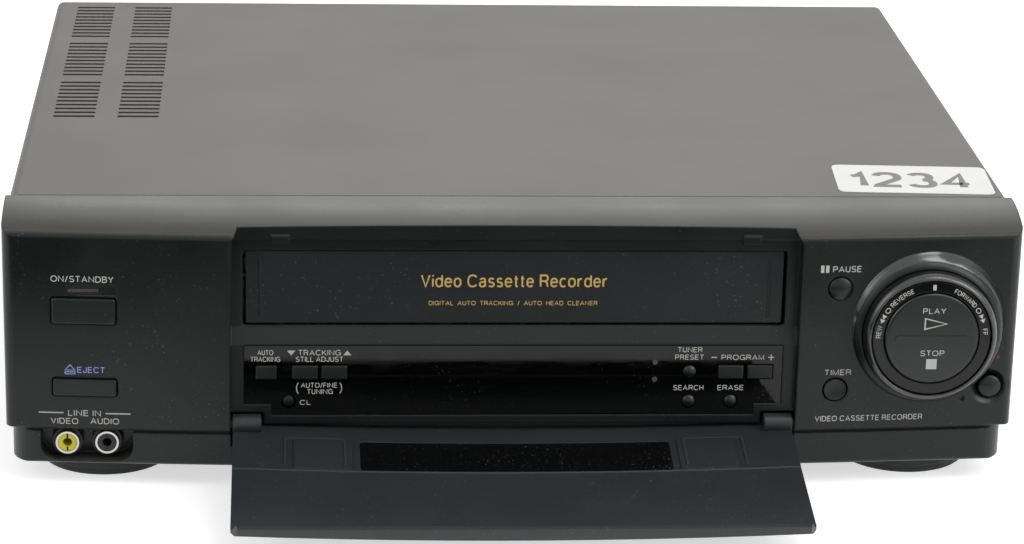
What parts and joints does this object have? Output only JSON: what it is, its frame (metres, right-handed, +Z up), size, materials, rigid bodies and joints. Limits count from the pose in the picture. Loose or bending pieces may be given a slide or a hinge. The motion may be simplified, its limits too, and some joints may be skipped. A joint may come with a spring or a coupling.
{
  "type": "video cassette recorder",
  "caption": "Front-loading video cassette recorder with a bowed front, open control door, shuttle dial, display window and a full tape deck inside.",
  "frame": {"origin": "under the middle of the recorder with its control door open, at table level", "axes": "+X to the right seen from the front, +Y from the front to the back, +Z up"},
  "size_m": [0.3612, 0.3844, 0.1005],
  "materials": {
    "front_plastic": "fine-grained moulded plastic",
    "door_plastic": "satin moulded plastic",
    "flap_plastic": "smooth satin plastic",
    "smoked_pane": "polished smoked acrylic",
    "button_plastic": "satin moulded plastic",
    "dial_plastic": "satin black plastic",
    "lens_plastic": "tinted clear plastic",
    "jack_yellow": "glossy plastic",
    "jack_black": "satin plastic",
    "plated_shell": "bright plated steel",
    "circuit_board": "bare laminate",
    "display_glass": "dark glass",
    "cover_paint": "textured paint on steel sheet",
    "frame_paint": "satin paint on steel sheet",
    "zinc_sheet": "zinc-plated sheet",
    "screw_steel": "plated steel",
    "foot_plastic": "matt plastic",
    "transformer_iron": "varnished laminations",
    "drum_alloy": "turned alloy",
    "shaft_steel": "ground steel",
    "stator_board": "lacquered laminate",
    "roller_rubber": "matt rubber",
    "white_acetal": "natural moulded plastic",
    "head_casing": "plated casings",
    "motor_can": "plated steel",
    "lettering": "screen-printed ink",
    "label_paper": "coated paper label"
  },
  "bodies": {
    "case": {"front_panel": "front_plastic", "display_window": "smoked_pane", "dial_scale": "dial_plastic", "indicator_lenses": "lens_plastic", "video_jack": "jack_yellow", "audio_jack": "jack_black", "jack_shells": "plated_shell", "front_boards": "circuit_board", "fluorescent_display": "display_glass", "top_cover": "cover_paint", "cover_screws": "screw_steel", "bottom_frame": "frame_paint", "rear_panel": "zinc_sheet", "front_feet": "foot_plastic", "rear_feet": "foot_plastic", "main_board": "circuit_board", "transformer": "transformer_iron", "power_board": "circuit_board", "tuner_box": "plated_shell", "scart_sockets": "jack_black", "mains_inlet": "jack_black", "deck_plate": "zinc_sheet", "drum_base": "drum_alloy", "capstan_stator": "stator_board", "drive_belt": "roller_rubber", "fixed_heads": "head_casing", "loading_motor": "motor_can", "carriage_brackets": "zinc_sheet"},
    "door": {"control_door": "door_plastic", "door_window": "smoked_pane"},
    "flap": {"cassette_flap": "flap_plastic"},
    "power": {"power_button": "button_plastic"},
    "eject": {"eject_button": "button_plastic"},
    "auto_tracking": {"auto_tracking_button": "button_plastic"},
    "tracking_down": {"tracking_down_button": "button_plastic"},
    "tracking_up": {"tracking_up_button": "button_plastic"},
    "clear": {"clear_button": "button_plastic"},
    "tuner_preset": {"tuner_preset_button": "button_plastic"},
    "search": {"search_button": "button_plastic"},
    "erase": {"erase_button": "button_plastic"},
    "program_down": {"program_down_button": "button_plastic"},
    "program_up": {"program_up_button": "button_plastic"},
    "pause": {"pause_button": "button_plastic"},
    "timer": {"timer_button": "button_plastic"},
    "record": {"record_button": "button_plastic"},
    "shuttle": {"shuttle_ring": "dial_plastic"},
    "play_stop": {"play_stop_disc": "dial_plastic"},
    "drum": {"head_drum": "drum_alloy"},
    "capstan": {"capstan": "shaft_steel"},
    "clutch": {"clutch_pulley": "white_acetal"},
    "pinch_arm": {"pinch_arm": "shaft_steel"},
    "pinch_roller": {"pinch_roller": "roller_rubber"},
    "supply_reel": {"supply_reel": "white_acetal"},
    "takeup_reel": {"takeup_reel": "white_acetal"},
    "idler_arm": {"idler_arm": "white_acetal"},
    "idler_gear": {"idler_gear": "white_acetal"},
    "supply_guide": {"supply_guide": "shaft_steel"},
    "takeup_guide": {"takeup_guide": "shaft_steel"},
    "carriage": {"carriage_sliders": "white_acetal"},
    "holder": {"cassette_holder": "zinc_sheet"}
  },
  "joints": [
    {"name": "door_hinge", "type": "hinge", "parent": "case", "child": "door", "pos_m": [0, -0.11952, 0.0243], "axis": [1, 0, 0], "range_deg": [-98.6, 0]},
    {"name": "flap_hinge", "type": "hinge", "parent": "case", "child": "flap", "pos_m": [0, -0.11002, 0.0894], "axis": [1, 0, 0], "range_deg": [0, 90], "stiffness_Nm_per_rad": 0.002, "springref_deg": -20.05},
    {"name": "power_press", "type": "slide", "parent": "case", "child": "power", "axis": [0, 1, 0], "range_m": [0, 0.0006], "stiffness_N_per_m": 200, "springref_m": -0.0006},
    {"name": "eject_press", "type": "slide", "parent": "case", "child": "eject", "axis": [0, 1, 0], "range_m": [0, 0.0006], "stiffness_N_per_m": 200, "springref_m": -0.0006},
    {"name": "auto_tracking_press", "type": "slide", "parent": "case", "child": "auto_tracking", "axis": [0, 1, 0], "range_m": [0, 0.0006], "stiffness_N_per_m": 200, "springref_m": -0.0006},
    {"name": "tracking_down_press", "type": "slide", "parent": "case", "child": "tracking_down", "axis": [0, 1, 0], "range_m": [0, 0.0006], "stiffness_N_per_m": 200, "springref_m": -0.0006},
    {"name": "tracking_up_press", "type": "slide", "parent": "case", "child": "tracking_up", "axis": [0, 1, 0], "range_m": [0, 0.0006], "stiffness_N_per_m": 200, "springref_m": -0.0006},
    {"name": "clear_press", "type": "slide", "parent": "case", "child": "clear", "axis": [0, 1, 0], "range_m": [0, 0.0006], "stiffness_N_per_m": 200, "springref_m": -0.0006},
    {"name": "tuner_preset_press", "type": "slide", "parent": "case", "child": "tuner_preset", "axis": [0, 1, 0], "range_m": [0, 0.0006], "stiffness_N_per_m": 200, "springref_m": -0.0006},
    {"name": "search_press", "type": "slide", "parent": "case", "child": "search", "axis": [0, 1, 0], "range_m": [0, 0.0006], "stiffness_N_per_m": 200, "springref_m": -0.0006},
    {"name": "erase_press", "type": "slide", "parent": "case", "child": "erase", "axis": [0, 1, 0], "range_m": [0, 0.0006], "stiffness_N_per_m": 200, "springref_m": -0.0006},
    {"name": "program_down_press", "type": "slide", "parent": "case", "child": "program_down", "axis": [0, 1, 0], "range_m": [0, 0.0006], "stiffness_N_per_m": 200, "springref_m": -0.0006},
    {"name": "program_up_press", "type": "slide", "parent": "case", "child": "program_up", "axis": [0, 1, 0], "range_m": [0, 0.0006], "stiffness_N_per_m": 200, "springref_m": -0.0006},
    {"name": "pause_press", "type": "slide", "parent": "case", "child": "pause", "axis": [0, 1, 0], "range_m": [0, 0.0006], "stiffness_N_per_m": 200, "springref_m": -0.0006},
    {"name": "timer_press", "type": "slide", "parent": "case", "child": "timer", "axis": [0, 1, 0], "range_m": [0, 0.0006], "stiffness_N_per_m": 200, "springref_m": -0.0006},
    {"name": "record_press", "type": "slide", "parent": "case", "child": "record", "axis": [0, 1, 0], "range_m": [0, 0.0006], "stiffness_N_per_m": 200, "springref_m": -0.0006},
    {"name": "shuttle_turn", "type": "hinge", "parent": "case", "child": "shuttle", "pos_m": [0.1467, -0.12054, 0.0601], "axis": [0, 1, 0], "range_deg": [-70, 70], "stiffness_Nm_per_rad": 0.01},
    {"name": "play_stop_rock", "type": "hinge", "parent": "case", "child": "play_stop", "pos_m": [0.1467, -0.12354, 0.0601], "axis": [1, 0, 0], "range_deg": [-2, 2], "stiffness_Nm_per_rad": 0.05},
    {"name": "drum_spin", "type": "hinge", "parent": "case", "child": "drum", "pos_m": [0, 0.08168, 0.0312], "axis": [0.1045, 0, 0.9945], "continuous": true},
    {"name": "capstan_spin", "type": "hinge", "parent": "case", "child": "capstan", "pos_m": [0.07, 0.04568, 0.0343], "axis": [0, 0, 1], "continuous": true},
    {"name": "clutch_spin", "type": "hinge", "parent": "case", "child": "clutch", "pos_m": [0, 0.00168, 0.0252], "axis": [0, 0, 1], "continuous": true},
    {"name": "pinch_arm_swing", "type": "hinge", "parent": "case", "child": "pinch_arm", "pos_m": [0.088, 0.06768, 0.0343], "axis": [0, 0, 1], "range_deg": [-39, 0]},
    {"name": "pinch_roller_spin", "type": "hinge", "parent": "pinch_arm", "child": "pinch_roller", "pos_m": [0.08834, 0.04798, 0.0343], "axis": [0, 0, 1], "continuous": true},
    {"name": "supply_reel_spin", "type": "hinge", "parent": "case", "child": "supply_reel", "pos_m": [-0.0462, -0.03232, 0.0343], "axis": [0, 0, 1], "continuous": true},
    {"name": "takeup_reel_spin", "type": "hinge", "parent": "case", "child": "takeup_reel", "pos_m": [0.0462, -0.03232, 0.0343], "axis": [0, 0, 1], "continuous": true},
    {"name": "idler_arm_swing", "type": "hinge", "parent": "case", "child": "idler_arm", "pos_m": [0, 0.00168, 0.0252], "axis": [0, 0, 1], "range_deg": [-28, 28]},
    {"name": "idler_gear_spin", "type": "hinge", "parent": "idler_arm", "child": "idler_gear", "pos_m": [0, -0.02232, 0.0252], "axis": [0, 0, 1], "continuous": true},
    {"name": "supply_guide_slide", "type": "slide", "parent": "case", "child": "supply_guide", "axis": [-0.1909, 0.9816, 0], "range_m": [0, 0.0733]},
    {"name": "takeup_guide_slide", "type": "slide", "parent": "case", "child": "takeup_guide", "axis": [0.1909, 0.9816, 0], "range_m": [0, 0.0733]},
    {"name": "carriage_in", "type": "slide", "parent": "case", "child": "carriage", "axis": [0, 1, 0], "range_m": [0, 0.07]},
    {"name": "carriage_down", "type": "slide", "parent": "carriage", "child": "holder", "axis": [0, 0, -1], "range_m": [0, 0.026]}
  ],
  "couplings": [
    {"joint": "clutch_spin", "follows": "capstan_spin", "ratio": 0.85714},
    {"joint": "takeup_guide_slide", "follows": "supply_guide_slide", "ratio": 1}
  ]
}
